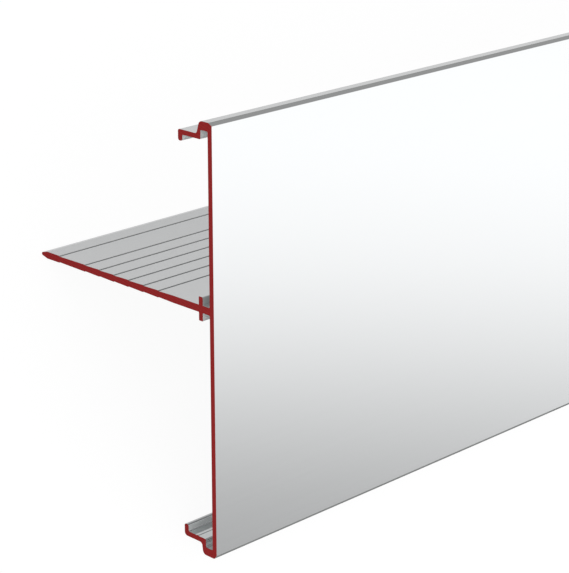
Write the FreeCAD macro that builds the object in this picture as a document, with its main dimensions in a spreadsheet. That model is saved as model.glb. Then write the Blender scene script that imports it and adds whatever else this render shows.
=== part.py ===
import FreeCAD, Part
import Sketcher
import math
import os

os.makedirs("parts", exist_ok=True)

doc = FreeCAD.newDocument("verge_trim")
vec = FreeCAD.Vector

# Named sizes in millimetres. The section is drawn upright: "in" runs from the outer face of the
# fascia to the nose of the roof flange, and "up" runs from the bottom edge of the fascia.
SIZES = [
    ("stock_length", 2500.0, "length of the straight stock"),
    ("face_height", 120.0, "height of the outer face"),
    ("face_wall", 1.5, "wall of the fascia"),
    ("slot_width", 2.65, "clear width of every channel behind the fascia"),
    ("flange_level", 70.0, "middle of the roof flange above the bottom edge"),
    ("flange_reach", 70.0, "outer face to the tip of the flange nose"),
    ("flange_wall", 2.0, "plain wall of the roof flange"),
    ("barb_start", 15.4, "outer face to the start of the first barb ramp"),
    ("barb_pitch", 6.0, "length of one barb ramp"),
    ("barb_count", 6.0, "number of barb ramps at that pitch"),
    ("barb_depth", 0.17, "depth of a barb step on each side"),
    ("nose_length", 7.6, "last barb step to the tip of the nose"),
    ("nose_wall", 2.0, "full wall of the nose"),
    ("nose_taper", 2.4, "length of the tapered tip"),
    ("nose_radius", 0.5, "radius of the rounded tip"),
    ("rib_wall", 1.45, "wall of the rib across the flange"),
    ("rib_rise", 2.3, "rib above and below the flange"),
    ("rib_round", 0.25, "edge radius of the rib ends"),
    ("hook_reach", 12.5, "outer face to the back of both hooks"),
    ("lip_wall", 1.55, "wall of the turned hook lips"),
    ("crown_width", 4.55, "flat top of the upper hook, before rounding"),
    ("crown_wall", 2.3, "wall over the upper channel"),
    ("crown_shelf", 3.5, "top edge down to the upper shelf"),
    ("crown_shelf_wall", 1.3, "wall of the upper shelf"),
    ("crown_foot", 5.6, "outer face to the foot of the upper flank"),
    ("crown_lip", 3.0, "height of the upper lip"),
    ("heel_width", 5.2, "flat bottom of the lower hook, before rounding"),
    ("heel_wall", 2.3, "wall under the lower channel"),
    ("heel_shelf", 3.25, "bottom edge up to the lower shelf"),
    ("heel_shelf_wall", 1.45, "wall of the lower shelf"),
    ("heel_foot", 5.7, "outer face to the foot of the lower flank"),
    ("heel_lip", 3.45, "height of the lower lip"),
    ("bead_place", 7.2, "outer face to the bead on the lower shelf"),
    ("bead_width", 0.5, "width of that bead"),
    ("bead_rise", 0.15, "height of that bead"),
    ("bevel_width", 0.95, "bevel along the top and bottom edges, measured inwards"),
    ("bevel_drop", 0.75, "the same bevel, measured along the face"),
    ("bevel_round", 0.15, "radius of the edges of both bevels"),
    ("flank_round", 1.3, "radius at the back of the crown and the heel"),
    ("lip_round", 0.6, "radius of the lip ends and the upper lip corner"),
    ("heel_round", 1.0, "radius under the lower lip"),
    ("foot_fillet", 0.9, "inside radius where a flank meets its shelf"),
    ("lip_fillet", 0.5, "inside radius between a lip and its shelf"),
    ("channel_round", 0.4, "inside and mouth radius of the hook channels"),
    ("root_fillet", 0.4, "inside radius where the flange meets the fascia"),
]


class Size:
    """A length that keeps the words of its expression beside its value."""

    def __init__(self, words, value):
        self.words = words
        self.value = value

    def __add__(self, other):
        return Size("%s + %s" % (self.words, other.words), self.value + other.value)

    def __sub__(self, other):
        return Size("%s - (%s)" % (self.words, other.words), self.value - other.value)

    def half(self):
        return Size("(%s) / 2" % self.words, self.value / 2)

    def times(self, other):
        return Size("(%s) * (%s)" % (self.words, other.words), self.value * other.value)


sheet = doc.addObject("Spreadsheet::Sheet", "sizes")
named = {}
for row, (name, value, meaning) in enumerate(SIZES, start=1):
    sheet.set("A%d" % row, meaning)
    sheet.set("B%d" % row, str(value))
    sheet.setAlias("B%d" % row, name)
    named[name] = Size("sizes." + name, value)
doc.recompute()

body = doc.addObject("PartDesign::Body", "verge_trim_body")
section_plane = None
for item in body.Origin.OriginFeatures:
    if item.Role == "YZ_Plane":
        section_plane = item

nil = Size("0", 0.0)
length = named["stock_length"]
height = named["face_height"]
wall = named["face_wall"]
slot_back = wall + named["slot_width"]
level = named["flange_level"]
reach = named["flange_reach"]
flange_top = level + named["flange_wall"].half()
flange_low = level - named["flange_wall"].half()
nose_start = reach - named["nose_length"]
rib_back = slot_back + named["rib_wall"]
lip_front = named["hook_reach"] - named["lip_wall"]


def new_sketch(name):
    """An empty sketch on the section plane: its first axis runs in, its second one up."""
    sketch = body.newObject("Sketcher::SketchObject", name)
    sketch.AttachmentSupport = [(section_plane, "")]
    sketch.MapMode = "FlatFace"
    return sketch


def pin(sketch, line, end, place):
    """Holds one end of a line at an in and up place that follows the sheet."""
    for kind, axis, part in (("DistanceX", -2, place[0]), ("DistanceY", -1, place[1])):
        if part is nil:
            sketch.addConstraint(Sketcher.Constraint("PointOnObject", line, end, axis))
            continue
        held = Sketcher.Constraint(kind, -1, 1, line, end, part.value)
        index = sketch.addConstraint(held)
        sketch.setExpression("Constraints[%d]" % index, part.words)


def outline(sketch, places):
    """A closed outline of straight lines through the places."""
    points = [vec(a.value, b.value, 0) for a, b in places]
    first = sketch.GeometryCount
    count = len(points)
    for i in range(count):
        line = Part.LineSegment(points[i], points[(i + 1) % count])
        sketch.addGeometry(line, False)
    for i in range(count):
        follower = first + (i + 1) % count
        sketch.addConstraint(Sketcher.Constraint("Coincident", first + i, 2, follower, 1))
    for i in range(count):
        pin(sketch, first + i, 1, places[i])


def extrude(name, sketch):
    """Adds the sketch over the whole stock length."""
    pad = body.newObject("PartDesign::Pad", name)
    pad.Profile = sketch
    pad.SideType = "Symmetric"
    pad.setExpression("Length", length.words)
    doc.recompute()
    return pad


def carve(name, sketch):
    """Cuts the sketch over the whole stock length."""
    pocket = body.newObject("PartDesign::Pocket", name)
    pocket.Profile = sketch
    pocket.SideType = "Symmetric"
    pocket.setExpression("Length", length.words)
    doc.recompute()
    return pocket


def round_edges(name, places, radius):
    """Rounds the long edges that pass through the given in and up places."""
    base = body.Tip
    found = []
    for index, edge in enumerate(base.Shape.Edges, start=1):
        ends = [v.Point for v in edge.Vertexes]
        if len(ends) != 2 or abs(ends[0].x - ends[1].x) < length.value / 2:
            continue
        for a, b in places:
            if math.hypot(ends[0].y - a.value, ends[0].z - b.value) < 0.01:
                found.append("Edge%d" % index)
    if len(found) != len(places):
        raise ValueError("%s found %d edges for %d places" % (name, len(found), len(places)))
    feature = body.newObject("PartDesign::Fillet", name)
    feature.Base = (base, found)
    feature.setExpression("Radius", radius.words)
    doc.recompute()
    return feature


# The fascia is the tall plain wall that shows on the building. Both of its outer edges are bevelled.
bevel_corners = [
    (named["bevel_width"], height),
    (nil, height - named["bevel_drop"]),
    (nil, named["bevel_drop"]),
    (named["bevel_width"], nil),
]
fascia_sketch = new_sketch("fascia_section")
outline(fascia_sketch, [(wall, nil), (wall, height)] + bevel_corners)
extrude("fascia", fascia_sketch)

# The roof flange lies under the roof covering.
flange_sketch = new_sketch("flange_section")
outline(
    flange_sketch,
    [
        (wall, flange_low),
        (nose_start, flange_low),
        (nose_start, flange_top),
        (wall, flange_top),
    ],
)
extrude("flange", flange_sketch)

# Shallow ramps on both sides of the flange end in steps that face the fascia, so they grip like barbs.
start = named["barb_start"]
first_step = start + named["barb_pitch"]
ramp_sketch = new_sketch("barb_section")
outline(
    ramp_sketch,
    [(start, flange_top), (first_step, flange_top - named["barb_depth"]), (first_step, flange_top)],
)
outline(
    ramp_sketch,
    [(start, flange_low), (first_step, flange_low), (first_step, flange_low + named["barb_depth"])],
)
ramp = carve("barb_ramp", ramp_sketch)
ramps = body.newObject("PartDesign::LinearPattern", "barb_ramps")
ramps.Originals = [ramp]
ramps.Direction = (ramp_sketch, ["H_Axis"])
ramps.Mode = "Spacing"
ramps.setExpression("Offset", named["barb_pitch"].words)
ramps.setExpression("Occurrences", named["barb_count"].words)
body.Tip = ramps
doc.recompute()

# The last ramp is longer and runs out at the nose.
last_ramp = start + named["barb_count"].times(named["barb_pitch"])
long_ramp_sketch = new_sketch("long_ramp_section")
outline(
    long_ramp_sketch,
    [(last_ramp, flange_top), (nose_start, flange_top - named["barb_depth"]), (nose_start, flange_top)],
)
outline(
    long_ramp_sketch,
    [(last_ramp, flange_low), (nose_start, flange_low), (nose_start, flange_low + named["barb_depth"])],
)
carve("long_ramp", long_ramp_sketch)

# The nose comes back to the full wall of the flange and tapers into a rounded tip.
nose_sketch = new_sketch("nose_section")
nose_top = level + named["nose_wall"].half()
nose_low = level - named["nose_wall"].half()
shoulder = reach - named["nose_taper"]
tip = reach - named["nose_radius"]
radius = named["nose_radius"]
span = math.hypot(shoulder.value - tip.value, nose_top.value - level.value)
toward = math.atan2(nose_top.value - level.value, shoulder.value - tip.value)
touch = toward - math.acos(radius.value / span)
touch_in = tip.value + radius.value * math.cos(touch)
touch_up = radius.value * math.sin(touch)
corner = [
    vec(shoulder.value, nose_low.value, 0),
    vec(touch_in, level.value - touch_up, 0),
    vec(touch_in, level.value + touch_up, 0),
    vec(shoulder.value, nose_top.value, 0),
    vec(nose_start.value, nose_top.value, 0),
    vec(nose_start.value, nose_low.value, 0),
]
nose_sketch.addGeometry(Part.LineSegment(corner[5], corner[0]), False)
nose_sketch.addGeometry(Part.LineSegment(corner[0], corner[1]), False)
tip_circle = Part.Circle(vec(tip.value, level.value, 0), vec(0, 0, 1), radius.value)
nose_sketch.addGeometry(Part.ArcOfCircle(tip_circle, -touch, touch), False)
nose_sketch.addGeometry(Part.LineSegment(corner[2], corner[3]), False)
nose_sketch.addGeometry(Part.LineSegment(corner[3], corner[4]), False)
nose_sketch.addGeometry(Part.LineSegment(corner[4], corner[5]), False)
nose_sketch.addConstraint(Sketcher.Constraint("Coincident", 0, 2, 1, 1))
nose_sketch.addConstraint(Sketcher.Constraint("Tangent", 1, 2, 2, 1))
nose_sketch.addConstraint(Sketcher.Constraint("Tangent", 2, 2, 3, 1))
nose_sketch.addConstraint(Sketcher.Constraint("Coincident", 3, 2, 4, 1))
nose_sketch.addConstraint(Sketcher.Constraint("Coincident", 4, 2, 5, 1))
nose_sketch.addConstraint(Sketcher.Constraint("Coincident", 5, 2, 0, 1))
round_tip = nose_sketch.addConstraint(Sketcher.Constraint("Radius", 2, radius.value))
nose_sketch.setExpression("Constraints[%d]" % round_tip, radius.words)
pin(nose_sketch, 2, 3, (tip, level))
pin(nose_sketch, 0, 1, (nose_start, nose_low))
pin(nose_sketch, 1, 1, (shoulder, nose_low))
pin(nose_sketch, 3, 2, (shoulder, nose_top))
pin(nose_sketch, 4, 2, (nose_start, nose_top))
extrude("nose", nose_sketch)

# A short rib crosses the flange and leaves a channel between itself and the fascia.
rib_top = flange_top + named["rib_rise"]
rib_low = flange_low - named["rib_rise"]
rib_sketch = new_sketch("rib_section")
outline(
    rib_sketch,
    [(slot_back, rib_low), (rib_back, rib_low), (rib_back, rib_top), (slot_back, rib_top)],
)
extrude("rib", rib_sketch)

# The upper hook folds back over a channel, then runs out to a lip that turns down.
crown_roof = height - named["crown_wall"]
crown_shelf = height - named["crown_shelf"]
crown_under = crown_shelf - named["crown_shelf_wall"]
crown_end = crown_shelf - named["crown_lip"]
crown_sketch = new_sketch("crown_section")
outline(
    crown_sketch,
    [
        (wall, height),
        (wall, crown_roof),
        (slot_back, crown_roof),
        (slot_back, crown_under),
        (lip_front, crown_under),
        (lip_front, crown_end),
        (named["hook_reach"], crown_end),
        (named["hook_reach"], crown_shelf),
        (named["crown_foot"], crown_shelf),
        (named["crown_width"], height),
    ],
)
extrude("crown", crown_sketch)

# The lower hook is turned the other way up, and a small bead runs along its shelf.
heel_floor = named["heel_wall"]
heel_shelf = named["heel_shelf"]
heel_top = heel_shelf + named["heel_shelf_wall"]
heel_end = heel_shelf + named["heel_lip"]
heel_sketch = new_sketch("heel_section")
outline(
    heel_sketch,
    [
        (wall, nil),
        (named["heel_width"], nil),
        (named["heel_foot"], heel_shelf),
        (named["hook_reach"], heel_shelf),
        (named["hook_reach"], heel_end),
        (lip_front, heel_end),
        (lip_front, heel_top),
        (slot_back, heel_top),
        (slot_back, heel_floor),
        (wall, heel_floor),
    ],
)
extrude("heel", heel_sketch)

bead_front = named["bead_place"]
bead_back = bead_front + named["bead_width"]
bead_top = heel_top + named["bead_rise"]
bead_sketch = new_sketch("bead_section")
outline(
    bead_sketch,
    [
        (bead_front, heel_top),
        (bead_back, heel_top),
        (bead_back - named["bead_rise"].half(), bead_top),
        (bead_front + named["bead_rise"].half(), bead_top),
    ],
)
extrude("bead", bead_sketch)

round_edges("bevel_edges", bevel_corners, named["bevel_round"])
round_edges(
    "flank_edges",
    [(named["crown_width"], height), (named["heel_width"], nil)],
    named["flank_round"],
)
round_edges(
    "lip_edges",
    [
        (named["hook_reach"], crown_shelf),
        (named["hook_reach"], crown_end),
        (lip_front, crown_end),
        (named["hook_reach"], heel_end),
        (lip_front, heel_end),
    ],
    named["lip_round"],
)
round_edges("heel_lip_edge", [(named["hook_reach"], heel_shelf)], named["heel_round"])
round_edges(
    "foot_fillets",
    [(named["crown_foot"], crown_shelf), (named["heel_foot"], heel_shelf)],
    named["foot_fillet"],
)
round_edges(
    "lip_fillets",
    [(lip_front, crown_under), (lip_front, heel_top)],
    named["lip_fillet"],
)
round_edges(
    "channel_edges",
    [
        (wall, crown_roof),
        (slot_back, crown_roof),
        (slot_back, crown_under),
        (wall, heel_floor),
        (slot_back, heel_floor),
        (slot_back, heel_top),
    ],
    named["channel_round"],
)
round_edges("root_fillets", [(wall, flange_top), (wall, flange_low)], named["root_fillet"])
round_edges(
    "rib_edges",
    [(slot_back, rib_low), (rib_back, rib_low), (rib_back, rib_top), (slot_back, rib_top)],
    named["rib_round"],
)

# Left alone on a level floor, the piece leans over until the nose and the lower lip both touch it.
lip_in = named["hook_reach"].value - named["heel_round"].value
lip_up = heel_shelf.value + named["heel_round"].value
rise = level.value - lip_up
run = tip.value - lip_in
lean = math.atan2(rise, run)
lean += math.asin((named["heel_round"].value - radius.value) / math.hypot(rise, run))
body.Placement = FreeCAD.Placement(vec(0, 0, 0), FreeCAD.Rotation(vec(1, 0, 0), -math.degrees(lean)))
doc.recompute()
box = body.Shape.optimalBoundingBox(False)
body.Placement.Base = vec(0, -(box.YMin + box.YMax) / 2, -box.ZMin)
doc.recompute()

for item in doc.Objects:
    if "Invalid" in item.State or "Error" in item.State:
        raise ValueError("%s did not rebuild: %s" % (item.Name, item.State))
shape = body.Shape
if shape.isNull() or not shape.isValid() or len(shape.Solids) != 1:
    raise ValueError("the trim is not one valid solid")
shape.exportStep("parts/verge_trim.step")
box = shape.optimalBoundingBox(False)
print("volume", shape.Volume / 1000.0, "cm3")
print("box", box.XMin, box.XMax, box.YMin, box.YMax, box.ZMin, box.ZMax)
print("lean", math.degrees(lean))
print("faces", len(shape.Faces), "centre of mass", shape.Solids[0].CenterOfMass)
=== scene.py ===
"""A length of extruded roof verge trim, lying unheld on a pale floor."""

import math

import bpy
from mathutils import Matrix, Vector


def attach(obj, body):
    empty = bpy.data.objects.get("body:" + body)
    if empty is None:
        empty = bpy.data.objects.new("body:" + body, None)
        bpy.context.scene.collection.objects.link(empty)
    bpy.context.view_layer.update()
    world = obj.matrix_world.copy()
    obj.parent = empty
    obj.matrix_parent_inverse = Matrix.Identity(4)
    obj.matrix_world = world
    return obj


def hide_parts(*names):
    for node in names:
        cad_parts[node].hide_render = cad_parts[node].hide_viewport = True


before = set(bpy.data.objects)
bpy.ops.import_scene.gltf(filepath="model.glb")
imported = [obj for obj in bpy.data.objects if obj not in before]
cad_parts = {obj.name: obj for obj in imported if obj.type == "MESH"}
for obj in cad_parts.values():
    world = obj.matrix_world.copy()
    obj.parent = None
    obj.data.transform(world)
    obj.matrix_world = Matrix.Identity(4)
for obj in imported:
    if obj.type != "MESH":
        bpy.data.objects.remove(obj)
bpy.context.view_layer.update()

# Section sizes in millimetres, measured in from the outer face and up from the bottom edge.
STOCK_LENGTH = 2500.0
FACE_HEIGHT = 120.0
FACE_WALL = 1.5
SLOT_WIDTH = 2.65
FLANGE_LEVEL = 70.0
FLANGE_REACH = 70.0
FLANGE_WALL = 2.0
BARB_START = 15.4
BARB_PITCH = 6.0
BARB_COUNT = 6
BARB_DEPTH = 0.17
NOSE_LENGTH = 7.6
NOSE_WALL = 2.0
NOSE_TAPER = 2.4
NOSE_RADIUS = 0.5
RIB_WALL = 1.45
RIB_RISE = 2.3
HOOK_REACH = 12.5
LIP_WALL = 1.55
CROWN_WIDTH = 4.55
CROWN_WALL = 2.3
CROWN_SHELF = 3.5
CROWN_SHELF_WALL = 1.3
CROWN_FOOT = 5.6
CROWN_LIP = 3.0
HEEL_WIDTH = 5.2
HEEL_WALL = 2.3
HEEL_SHELF = 3.25
HEEL_SHELF_WALL = 1.45
HEEL_FOOT = 5.7
HEEL_LIP = 3.45
BEAD_PLACE = 7.2
BEAD_WIDTH = 0.5
BEAD_RISE = 0.15
CROWN_BEVEL_WIDTH = 1.28
CROWN_BEVEL_DROP = 0.67
HEEL_BEVEL_WIDTH = 0.95
HEEL_BEVEL_RISE = 1.2
BEVEL_ROUND = 0.15
FLANK_ROUND = 1.3
LIP_ROUND = 0.6
HEEL_ROUND = 1.0
FOOT_FILLET = 0.9
LIP_FILLET = 0.5
CHANNEL_ROUND = 0.4
ROOT_FILLET = 0.4
RIB_ROUND = 0.25
CREST_ROUND = 0.06
SLOPE_ROUND = 1.5

# How finely a rounded corner is divided.
ARC_STEP = 9
FEWEST_ARC_STEPS = 2
MOST_ARC_STEPS = 10

# How many stretches the long piece is drawn in.
STRETCHES = 25
MM_PER_METRE = 1000

# The cut ends are skins of this depth, so that each has its own material.
SKIN = 0.05

# How near to a sheltered space the outline counts as lying in it.
EDGE = 0.2

# Within this much, a stretch of the outline runs straight up or lies on the outer face.
BARE = 0.03

# The finishes along the outline, in the order of the long piece's materials; all but the satin one
# are painted light or painted shade.
SATIN, PAINTED_FILL_LIGHT, PAINTED_EDGE_SHADE, HOOK_PAINTED_LIGHT, HEEL_PAINTED_SHADE, RIB_GAP_PAINTED_SHADE = range(6)

# Die lines of the aluminium: how they stretch, where their tones start and end, how deep they are.
LINE_STRETCH = (2.0, 900.0, 900.0)
LINE_SCALE = 1.0
LINE_DETAIL = 4.0
LINE_ROUGHNESS = 0.6
LINE_LOW = 0.3
LINE_HIGH = 0.7
LINE_STRENGTH = 0.004
LINE_DEPTH = 0.00002
METAL_SPECULAR = 0.5

# Tooth marks of the saw, in arcs round a place beside the cut.
SAW_SHIFT = (0.0, 0.11, 0.16)
SAW_SCALE = 420.0
SAW_DISTORTION = 1.2
SAW_DETAIL = 2.0
SAW_STRENGTH = 0.15
SAW_DEPTH = 0.00003

# The floor: half its width in metres, its grey, its glow, and how much of the glow is seen.
FLOOR_HALF = 200
FLOOR_GREY = (0.75, 0.75, 0.75, 1)
FLOOR_GLOW = 1.085
GLOW_SEEN = 0.85
GLOW_REFLECTED = 0.45

# The light: its strength on the outer side and elsewhere, and what shows beyond the floor.
OUTER_LIGHT = 1.97
OTHER_LIGHT = 0.83
BEYOND_FLOOR = 1.0
OUTER_FROM = -0.1
OUTER_TO = 0.3

# The outer light from below to above, as (direction along the upright, share of its strength).
LIGHT_STOPS = [
    (-1.0, 0.375),
    (-0.455, 0.375),
    (-0.421, 0.455),
    (-0.386, 0.61),
    (-0.35, 0.79),
    (-0.314, 0.93),
    (-0.27, 1.0),
    (-0.21, 1.0),
    (-0.05, 0.66),
    (0.4, 0.5),
    (1.0, 0.45),
]

# The photograph's camera, told in the upright section's own directions.
CAMERA_BEFORE_END = 339.63
CAMERA_OUT = 365.88
CAMERA_UP = 249.57
CAMERA_TURN = 44.95
CAMERA_DOWN = 19.05
FOCAL_PIXELS = 2070.8
FRAME_WIDTH = 569
FRAME_HEIGHT = 573
SENSOR_WIDTH = 36.0
CLIP_START = 0.01


def lean_angle():
    """How far the upright section turns before the nose and the lower lip both touch the floor."""
    lip_in = HOOK_REACH - HEEL_ROUND
    lip_up = HEEL_SHELF + HEEL_ROUND
    run = FLANGE_REACH - NOSE_RADIUS - lip_in
    rise = FLANGE_LEVEL - lip_up
    return math.atan2(rise, run) + math.asin((HEEL_ROUND - NOSE_RADIUS) / math.hypot(rise, run))


LEAN = lean_angle()


def leaned(along, inward, up):
    """An upright direction as it points once the piece has leaned over."""
    c, s = math.cos(LEAN), math.sin(LEAN)
    return Vector((along, inward * c + up * s, up * c - inward * s))


def section_corners():
    """The whole outline as (in, up, radius), from the bottom of the outer face round."""
    top = FLANGE_LEVEL + FLANGE_WALL / 2
    low = FLANGE_LEVEL - FLANGE_WALL / 2
    slot = FACE_WALL + SLOT_WIDTH
    rib = slot + RIB_WALL
    lip = HOOK_REACH - LIP_WALL
    shelf = FACE_HEIGHT - CROWN_SHELF
    under = shelf - CROWN_SHELF_WALL
    down = shelf - CROWN_LIP
    roof = FACE_HEIGHT - CROWN_WALL
    heel_top = HEEL_SHELF + HEEL_SHELF_WALL
    heel_end = HEEL_SHELF + HEEL_LIP
    nose = FLANGE_REACH - NOSE_LENGTH
    shoulder = FLANGE_REACH - NOSE_TAPER
    tip = FLANGE_REACH - NOSE_RADIUS
    side = math.hypot(tip - shoulder, NOSE_WALL / 2)
    taper = math.atan2(NOSE_WALL / 2, tip - shoulder) - math.asin(NOSE_RADIUS / side)
    apex = tip + NOSE_RADIUS / math.sin(taper)

    upper = []
    for step in range(BARB_COUNT):
        end = BARB_START + (step + 1) * BARB_PITCH
        upper.append((end, FLANGE_WALL / 2 - BARB_DEPTH, CREST_ROUND))
        upper.append((end, FLANGE_WALL / 2, CREST_ROUND))
    upper.append((nose, FLANGE_WALL / 2 - BARB_DEPTH, CREST_ROUND))
    upper.append((nose, NOSE_WALL / 2, CREST_ROUND))
    upper.append((shoulder, NOSE_WALL / 2, SLOPE_ROUND))

    corners = [
        (0.0, HEEL_BEVEL_RISE, BEVEL_ROUND),
        (0.0, FACE_HEIGHT - CROWN_BEVEL_DROP, BEVEL_ROUND),
        (CROWN_BEVEL_WIDTH, FACE_HEIGHT, BEVEL_ROUND),
        (CROWN_WIDTH, FACE_HEIGHT, FLANK_ROUND),
        (CROWN_FOOT, shelf, FOOT_FILLET),
        (HOOK_REACH, shelf, LIP_ROUND),
        (HOOK_REACH, down, LIP_ROUND),
        (lip, down, LIP_ROUND),
        (lip, under, LIP_FILLET),
        (slot, under, CHANNEL_ROUND),
        (slot, roof, CHANNEL_ROUND),
        (FACE_WALL, roof, CHANNEL_ROUND),
        (FACE_WALL, top, ROOT_FILLET),
        (slot, top, CREST_ROUND),
        (slot, top + RIB_RISE, RIB_ROUND),
        (rib, top + RIB_RISE, RIB_ROUND),
        (rib, top, CREST_ROUND),
        (BARB_START, top, SLOPE_ROUND),
    ]
    corners += [(a, FLANGE_LEVEL + b, r) for a, b, r in upper]
    corners.append((apex, FLANGE_LEVEL, NOSE_RADIUS))
    corners += [(a, FLANGE_LEVEL - b, r) for a, b, r in reversed(upper)]
    corners += [
        (BARB_START, low, SLOPE_ROUND),
        (rib, low, CREST_ROUND),
        (rib, low - RIB_RISE, RIB_ROUND),
        (slot, low - RIB_RISE, RIB_ROUND),
        (slot, low, CREST_ROUND),
        (FACE_WALL, low, ROOT_FILLET),
        (FACE_WALL, HEEL_WALL, CHANNEL_ROUND),
        (slot, HEEL_WALL, CHANNEL_ROUND),
        (slot, heel_top, CHANNEL_ROUND),
        (BEAD_PLACE, heel_top, CREST_ROUND),
        (BEAD_PLACE + BEAD_RISE / 2, heel_top + BEAD_RISE, CREST_ROUND),
        (BEAD_PLACE + BEAD_WIDTH - BEAD_RISE / 2, heel_top + BEAD_RISE, CREST_ROUND),
        (BEAD_PLACE + BEAD_WIDTH, heel_top, CREST_ROUND),
        (lip, heel_top, LIP_FILLET),
        (lip, heel_end, LIP_ROUND),
        (HOOK_REACH, heel_end, LIP_ROUND),
        (HOOK_REACH, HEEL_SHELF, HEEL_ROUND),
        (HEEL_FOOT, HEEL_SHELF, FOOT_FILLET),
        (HEEL_WIDTH, 0.0, FLANK_ROUND),
        (HEEL_BEVEL_WIDTH, 0.0, BEVEL_ROUND),
    ]
    return corners


def rounded(corners):
    """Each corner turned into an arc, as points with the outward direction at each."""
    out = []
    count = len(corners)
    for i in range(count):
        here = Vector(corners[i][:2])
        radius = corners[i][2]
        back = (Vector(corners[i - 1][:2]) - here).normalized()
        ahead = (Vector(corners[(i + 1) % count][:2]) - here).normalized()
        half = math.acos(max(-1.0, min(1.0, back.dot(ahead)))) / 2
        reach = radius / math.tan(half)
        middle = here + (back + ahead).normalized() * (radius / math.sin(half))
        first = here + back * reach - middle
        last = here + ahead * reach - middle
        turn = first.angle_signed(last)
        side = 1.0 if turn > 0 else -1.0
        wanted = int(math.ceil(abs(turn) / math.radians(ARC_STEP) + radius))
        steps = max(FEWEST_ARC_STEPS, min(MOST_ARC_STEPS, wanted))
        for k in range(steps + 1):
            a = -turn * k / steps
            spoke = Vector(
                (
                    first.x * math.cos(a) - first.y * math.sin(a),
                    first.x * math.sin(a) + first.y * math.cos(a),
                )
            )
            out.append((middle + spoke, spoke.normalized() * side))
    return out


OUTLINE = rounded(section_corners())


def seat(points):
    """The sideways and upward shift that puts the leaned section on the floor, centred."""
    c, s = math.cos(LEAN), math.sin(LEAN)
    across = [p.x * c + p.y * s for p, n in points]
    heights = [p.y * c - p.x * s for p, n in points]
    return -(min(across) + max(across)) / 2, -min(heights)


SHIFT_Y, SHIFT_Z = seat(OUTLINE)


def placed(along, inward, up):
    """A point of the upright section, in metres, where it lies on the floor."""
    spot = leaned(along, inward, up) + Vector((0.0, SHIFT_Y, SHIFT_Z))
    return spot / MM_PER_METRE


def finish_at(first, last):
    """Which finish the stretch of the outline between two of its points has: painted light in the
    sheltered channels, hooks and lower rib gap, painted shade in the upper rib gap, on the bevels
    and on the steep barb steps, satin elsewhere.
    """
    slot = FACE_WALL + SLOT_WIDTH
    lip = HOOK_REACH - LIP_WALL
    top = FLANGE_LEVEL + FLANGE_WALL / 2
    low = FLANGE_LEVEL - FLANGE_WALL / 2
    under = FACE_HEIGHT - CROWN_SHELF - CROWN_SHELF_WALL
    down = FACE_HEIGHT - CROWN_SHELF - CROWN_LIP
    heel_top = HEEL_SHELF + HEEL_SHELF_WALL
    nose = FLANGE_REACH - NOSE_LENGTH + EDGE
    # Sheltered spaces and their finishes: painted light, a brighter colour where shade falls, in
    # all but the gap above the flange, which gets painted shade.
    spaces = [
        (FACE_WALL, slot, down, FACE_HEIGHT - CROWN_WALL, PAINTED_FILL_LIGHT),
        (slot, lip, down, under, PAINTED_FILL_LIGHT),
        (FACE_WALL, slot, top, top + RIB_RISE, RIB_GAP_PAINTED_SHADE),
        (FACE_WALL, slot, low - RIB_RISE, low, PAINTED_FILL_LIGHT),
        (FACE_WALL, slot, HEEL_WALL, heel_top, HOOK_PAINTED_LIGHT),
        (lip, lip, heel_top + LIP_FILLET, HEEL_SHELF + HEEL_LIP, PAINTED_FILL_LIGHT),
        (slot, lip, heel_top, HEEL_SHELF + HEEL_LIP, HOOK_PAINTED_LIGHT),
    ]
    middle = (first + last) / 2
    for a, b, c, d, finish in spaces:
        if a - EDGE <= middle.x <= b + EDGE and c - EDGE <= middle.y <= d + EDGE:
            return finish
    # Painted shade: the steep barb steps and the crown bevel take a darker colour.
    off = abs(middle.y - FLANGE_LEVEL)
    steep = abs(first.x - last.x) < BARE and BARB_START < middle.x < nose
    if steep and FLANGE_WALL / 2 - BARB_DEPTH < off < FLANGE_WALL / 2:
        return PAINTED_EDGE_SHADE
    if BARE < middle.x < CROWN_BEVEL_WIDTH and 0 < FACE_HEIGHT - middle.y < CROWN_BEVEL_DROP:
        return PAINTED_EDGE_SHADE
    # Painted shade: the heel bevel takes a darker colour.
    if BARE < middle.x < HEEL_BEVEL_WIDTH and 0 < middle.y < HEEL_BEVEL_RISE:
        return HEEL_PAINTED_SHADE
    return SATIN


def prism(name, begin, end, stations):
    """The closed section drawn between two places along the length, with exact edge normals."""
    rings = []
    mesh = bpy.data.meshes.new(name)
    verts = []
    faces = []
    normals = []
    count = len(OUTLINE)
    for k in range(stations + 1):
        along = begin + (end - begin) * k / stations
        rings.append(len(verts))
        verts += [placed(along, p.x, p.y) for p, n in OUTLINE]
    for k in range(stations):
        for i in range(count):
            j = (i + 1) % count
            faces.append((rings[k] + i, rings[k + 1] + i, rings[k + 1] + j, rings[k] + j))
            ni = leaned(0, OUTLINE[i][1].x, OUTLINE[i][1].y)
            nj = leaned(0, OUTLINE[j][1].x, OUTLINE[j][1].y)
            normals += [ni, ni, nj, nj]
    faces.append(tuple(range(count)))
    normals += [Vector((-1, 0, 0))] * count
    faces.append(tuple(reversed(range(rings[-1], rings[-1] + count))))
    normals += [Vector((1, 0, 0))] * count
    mesh.from_pydata(verts, [], faces)
    finish = [finish_at(OUTLINE[i][0], OUTLINE[(i + 1) % count][0]) for i in range(count)]
    for face in mesh.polygons:
        face.use_smooth = True
        if face.index < stations * count:
            face.material_index = finish[face.index % count]
    mesh.normals_split_custom_set(normals)
    mesh.update()
    piece = bpy.data.objects.new(name, mesh)
    bpy.context.scene.collection.objects.link(piece)
    return piece


def node(tree, kind, place, **values):
    """One shader node with its settings and socket values."""
    made = tree.nodes.new(kind)
    made.location = place
    for key, value in values.items():
        if key in made.inputs:
            made.inputs[key].default_value = value
        else:
            setattr(made, key, value)
    return made


def new_material(name):
    """A material with its node tree."""
    mat = bpy.data.materials.new(name)
    mat.use_nodes = True
    return mat, mat.node_tree


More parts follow.
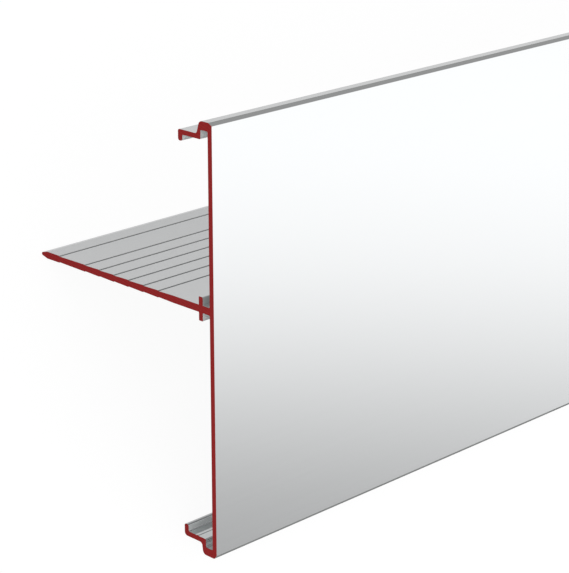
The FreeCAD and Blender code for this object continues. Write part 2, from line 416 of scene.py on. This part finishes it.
def aluminium(name, dark, light, metallic, smooth, coarse):
    """Extruded aluminium with faint die lines along the stock."""
    mat, tree = new_material(name)
    shader = tree.nodes["Principled BSDF"]
    shader.inputs["Metallic"].default_value = metallic
    shader.inputs["Specular IOR Level"].default_value = METAL_SPECULAR * metallic
    coords = node(tree, "ShaderNodeTexCoord", (-1200, 0))
    squash = node(tree, "ShaderNodeMapping", (-1000, 0))
    squash.inputs["Scale"].default_value = LINE_STRETCH
    tree.links.new(coords.outputs["Object"], squash.inputs["Vector"])
    lines = node(
        tree,
        "ShaderNodeTexNoise",
        (-800, 0),
        Scale=LINE_SCALE,
        Detail=LINE_DETAIL,
        Roughness=LINE_ROUGHNESS,
    )
    tree.links.new(squash.outputs["Vector"], lines.inputs["Vector"])
    tone = node(tree, "ShaderNodeValToRGB", (-550, 200))
    tone.color_ramp.elements[0].position = LINE_LOW
    tone.color_ramp.elements[0].color = dark
    tone.color_ramp.elements[1].position = LINE_HIGH
    tone.color_ramp.elements[1].color = light
    tree.links.new(lines.outputs["Fac"], tone.inputs["Fac"])
    tree.links.new(tone.outputs["Color"], shader.inputs["Base Color"])
    rough = node(tree, "ShaderNodeMapRange", (-550, -100))
    rough.inputs["From Min"].default_value = LINE_LOW
    rough.inputs["From Max"].default_value = LINE_HIGH
    rough.inputs["To Min"].default_value = smooth
    rough.inputs["To Max"].default_value = coarse
    tree.links.new(lines.outputs["Fac"], rough.inputs["Value"])
    tree.links.new(rough.outputs["Result"], shader.inputs["Roughness"])
    bump = node(
        tree, "ShaderNodeBump", (-300, -350), Strength=LINE_STRENGTH, Distance=LINE_DEPTH
    )
    tree.links.new(lines.outputs["Fac"], bump.inputs["Height"])
    tree.links.new(bump.outputs["Normal"], shader.inputs["Normal"])
    return mat


def sawn(name, dark, light, metallic, roughness, gloss):
    """A saw-cut face: fine curved tooth marks over its own colour."""
    mat, tree = new_material(name)
    shader = tree.nodes["Principled BSDF"]
    shader.inputs["Metallic"].default_value = metallic
    shader.inputs["Roughness"].default_value = roughness
    shader.inputs["Specular IOR Level"].default_value = gloss
    coords = node(tree, "ShaderNodeTexCoord", (-1200, 0))
    shift = node(tree, "ShaderNodeMapping", (-1000, 0))
    shift.inputs["Location"].default_value = SAW_SHIFT
    tree.links.new(coords.outputs["Object"], shift.inputs["Vector"])
    marks = node(
        tree,
        "ShaderNodeTexWave",
        (-800, 0),
        Scale=SAW_SCALE,
        Distortion=SAW_DISTORTION,
        Detail=SAW_DETAIL,
    )
    marks.wave_type = "RINGS"
    marks.rings_direction = "X"
    tree.links.new(shift.outputs["Vector"], marks.inputs["Vector"])
    tone = node(tree, "ShaderNodeValToRGB", (-500, 150))
    tone.color_ramp.elements[0].color = dark
    tone.color_ramp.elements[1].color = light
    tree.links.new(marks.outputs["Fac"], tone.inputs["Fac"])
    tree.links.new(tone.outputs["Color"], shader.inputs["Base Color"])
    bump = node(tree, "ShaderNodeBump", (-300, -300), Strength=SAW_STRENGTH, Distance=SAW_DEPTH)
    tree.links.new(marks.outputs["Fac"], bump.inputs["Height"])
    tree.links.new(bump.outputs["Normal"], shader.inputs["Normal"])
    return mat


def floor_material():
    """A pale floor: white to the eye and to reflections, with the shadow left in it."""
    mat, tree = new_material("pale_floor")
    tree.nodes.clear()
    out = node(tree, "ShaderNodeOutputMaterial", (400, 0))
    mix = node(tree, "ShaderNodeMixShader", (200, 0))
    plain = node(tree, "ShaderNodeBsdfDiffuse", (-100, 100), Color=FLOOR_GREY)
    glow = node(
        tree, "ShaderNodeEmission", (-100, -100), Color=(1, 1, 1, 1), Strength=FLOOR_GLOW
    )
    rays = node(tree, "ShaderNodeLightPath", (-500, 300))
    mirrored = node(tree, "ShaderNodeMath", (-300, 200), operation="MAXIMUM")
    seen = node(tree, "ShaderNodeMath", (-150, 400), operation="MULTIPLY")
    seen.inputs[1].default_value = GLOW_SEEN
    caught = node(tree, "ShaderNodeMath", (-150, 200), operation="MULTIPLY")
    caught.inputs[1].default_value = GLOW_REFLECTED
    part = node(tree, "ShaderNodeMath", (0, 300), operation="ADD")
    tree.links.new(rays.outputs["Is Glossy Ray"], mirrored.inputs[0])
    tree.links.new(rays.outputs["Is Transmission Ray"], mirrored.inputs[1])
    tree.links.new(rays.outputs["Is Camera Ray"], seen.inputs[0])
    tree.links.new(mirrored.outputs["Value"], caught.inputs[0])
    tree.links.new(seen.outputs["Value"], part.inputs[0])
    tree.links.new(caught.outputs["Value"], part.inputs[1])
    tree.links.new(part.outputs["Value"], mix.inputs["Fac"])
    tree.links.new(plain.outputs["BSDF"], mix.inputs[1])
    tree.links.new(glow.outputs["Emission"], mix.inputs[2])
    tree.links.new(mix.outputs["Shader"], out.inputs["Surface"])
    return mat


half = STOCK_LENGTH / 2
trim = prism("verge_trim_stock", -half + SKIN, half - SKIN, STRETCHES)
near_end = prism("red_sawn_end", -half, -half + SKIN, 1)
far_end = prism("bare_sawn_end", half - SKIN, half, 1)
# Each finish: name, darker and lighter colour, metallic, smoothest and coarsest roughness.
finishes = {
    SATIN: ("satin_aluminium", (0.624, 0.633, 0.638, 1), (0.630, 0.639, 0.644, 1), 1.0, 0.10, 0.12),
    # Painted light: a brighter colour in the channels, the upper hook, the lower rib gap and the
    # lower lip's inner side, where shade falls.
    PAINTED_FILL_LIGHT: ("bright_aluminium", (0.84, 0.86, 0.86, 1), (0.87, 0.89, 0.89, 1), 0.35, 0.30, 0.34),
    # Painted shade: a darker colour on the crown bevel and the steep barb steps.
    PAINTED_EDGE_SHADE: (
        "crown_bevel_aluminium",
        (0.404, 0.411, 0.411, 1),
        (0.416, 0.423, 0.423, 1),
        1.0,
        0.16,
        0.20,
    ),
    # Painted light: a brighter colour in the lower hook, where shade falls.
    HOOK_PAINTED_LIGHT: ("hook_aluminium", (0.75, 0.77, 0.77, 1), (0.77, 0.79, 0.79, 1), 1.0, 0.05, 0.08),
    # Painted shade: a darker colour on the heel bevel.
    HEEL_PAINTED_SHADE: (
        "heel_bevel_aluminium",
        (0.254, 0.260, 0.260, 1),
        (0.271, 0.277, 0.277, 1),
        0.0,
        0.50,
        0.55,
    ),
    # Painted shade: a darker colour in the gap between the face and the rib above the flange.
    RIB_GAP_PAINTED_SHADE: ("rib_gap_aluminium", (0.54, 0.56, 0.56, 1), (0.56, 0.58, 0.58, 1), 0.35, 0.30, 0.34),
}
for place in sorted(finishes):
    trim.data.materials.append(aluminium(*finishes[place]))
near_end.data.materials.append(
    sawn("red_sawn_face", (0.312, 0.0200, 0.0198, 1), (0.354, 0.0258, 0.0263, 1), 0.0, 0.6, 0.05)
)
far_end.data.materials.append(
    sawn("bare_sawn_face", (0.62, 0.63, 0.63, 1), (0.78, 0.79, 0.79, 1), 1.0, 0.34, 0.5)
)
for piece in (trim, near_end, far_end):
    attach(piece, "root")
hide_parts("verge_trim")

floor_mesh = bpy.data.meshes.new("floor")
sides = ((-1, -1), (1, -1), (1, 1), (-1, 1))
floor_corners = [(x * FLOOR_HALF, y * FLOOR_HALF, 0) for x, y in sides]
floor_mesh.from_pydata(floor_corners, [], [(0, 1, 2, 3)])
floor = bpy.data.objects.new("floor", floor_mesh)
bpy.context.scene.collection.objects.link(floor)
floor_mesh.materials.append(floor_material())


def studio():
    """Soft light all round, with a bright band low on the side that the outer face looks at."""
    world = bpy.data.worlds.new("studio")
    bpy.context.scene.world = world
    world.use_nodes = True
    tree = world.node_tree
    tree.nodes.clear()
    out = node(tree, "ShaderNodeOutputWorld", (800, 0))
    sky = node(tree, "ShaderNodeBackground", (600, 0))
    coords = node(tree, "ShaderNodeTexCoord", (-900, 0))
    up = node(tree, "ShaderNodeVectorMath", (-650, 150), operation="DOT_PRODUCT")
    up.inputs[1].default_value = leaned(0, 0, 1)
    outward = node(tree, "ShaderNodeVectorMath", (-650, -150), operation="DOT_PRODUCT")
    outward.inputs[1].default_value = leaned(0, -1, 0)
    tree.links.new(coords.outputs["Generated"], up.inputs[0])
    tree.links.new(coords.outputs["Generated"], outward.inputs[0])
    band = node(tree, "ShaderNodeValToRGB", (-200, 150))
    span = node(tree, "ShaderNodeMapRange", (-420, 150))
    span.inputs["From Min"].default_value = -1.0
    span.inputs["From Max"].default_value = 1.0
    tree.links.new(up.outputs["Value"], span.inputs["Value"])
    tree.links.new(span.outputs["Result"], band.inputs["Fac"])
    ramp = band.color_ramp
    while len(ramp.elements) < len(LIGHT_STOPS):
        ramp.elements.new(0.5)
    for item, (place, level) in zip(ramp.elements, LIGHT_STOPS):
        item.position = (place + 1) / 2
        item.color = (level, level, level, 1)
    side = node(tree, "ShaderNodeMapRange", (-200, -150))
    side.inputs["From Min"].default_value = OUTER_FROM
    side.inputs["From Max"].default_value = OUTER_TO
    tree.links.new(outward.outputs["Value"], side.inputs["Value"])
    lit = node(tree, "ShaderNodeMath", (50, 150), operation="MULTIPLY")
    lit.inputs[1].default_value = OUTER_LIGHT
    tree.links.new(band.outputs["Color"], lit.inputs[0])
    blend = node(tree, "ShaderNodeMix", (300, 0))
    blend.inputs[2].default_value = OTHER_LIGHT
    tree.links.new(side.outputs["Result"], blend.inputs[0])
    tree.links.new(lit.outputs["Value"], blend.inputs[3])
    rays = node(tree, "ShaderNodeLightPath", (300, 300))
    beyond = node(tree, "ShaderNodeMix", (450, 150))
    beyond.inputs[3].default_value = BEYOND_FLOOR
    tree.links.new(rays.outputs["Is Camera Ray"], beyond.inputs[0])
    tree.links.new(blend.outputs[0], beyond.inputs[2])
    tree.links.new(beyond.outputs[0], sky.inputs["Strength"])
    tree.links.new(sky.outputs["Background"], out.inputs["Surface"])


studio()

camera_data = bpy.data.cameras.new("camera")
camera_data.sensor_width = SENSOR_WIDTH
camera_data.lens = FOCAL_PIXELS / max(FRAME_WIDTH, FRAME_HEIGHT) * SENSOR_WIDTH
camera_data.clip_start = CLIP_START
camera = bpy.data.objects.new("camera", camera_data)
bpy.context.scene.collection.objects.link(camera)
turn = math.radians(CAMERA_TURN)
down = math.radians(CAMERA_DOWN)
level = math.cos(down)
ahead = leaned(level * math.sin(turn), level * math.cos(turn), -math.sin(down))
right = leaned(math.cos(turn), -math.sin(turn), 0)
above = right.cross(ahead)
turned = Matrix((right, above, -ahead)).transposed().to_4x4()
stand = placed(-half - CAMERA_BEFORE_END, -CAMERA_OUT, CAMERA_UP)
camera.matrix_world = Matrix.Translation(stand) @ turned
bpy.context.scene.camera = camera
bpy.context.scene.view_settings.view_transform = "Standard"
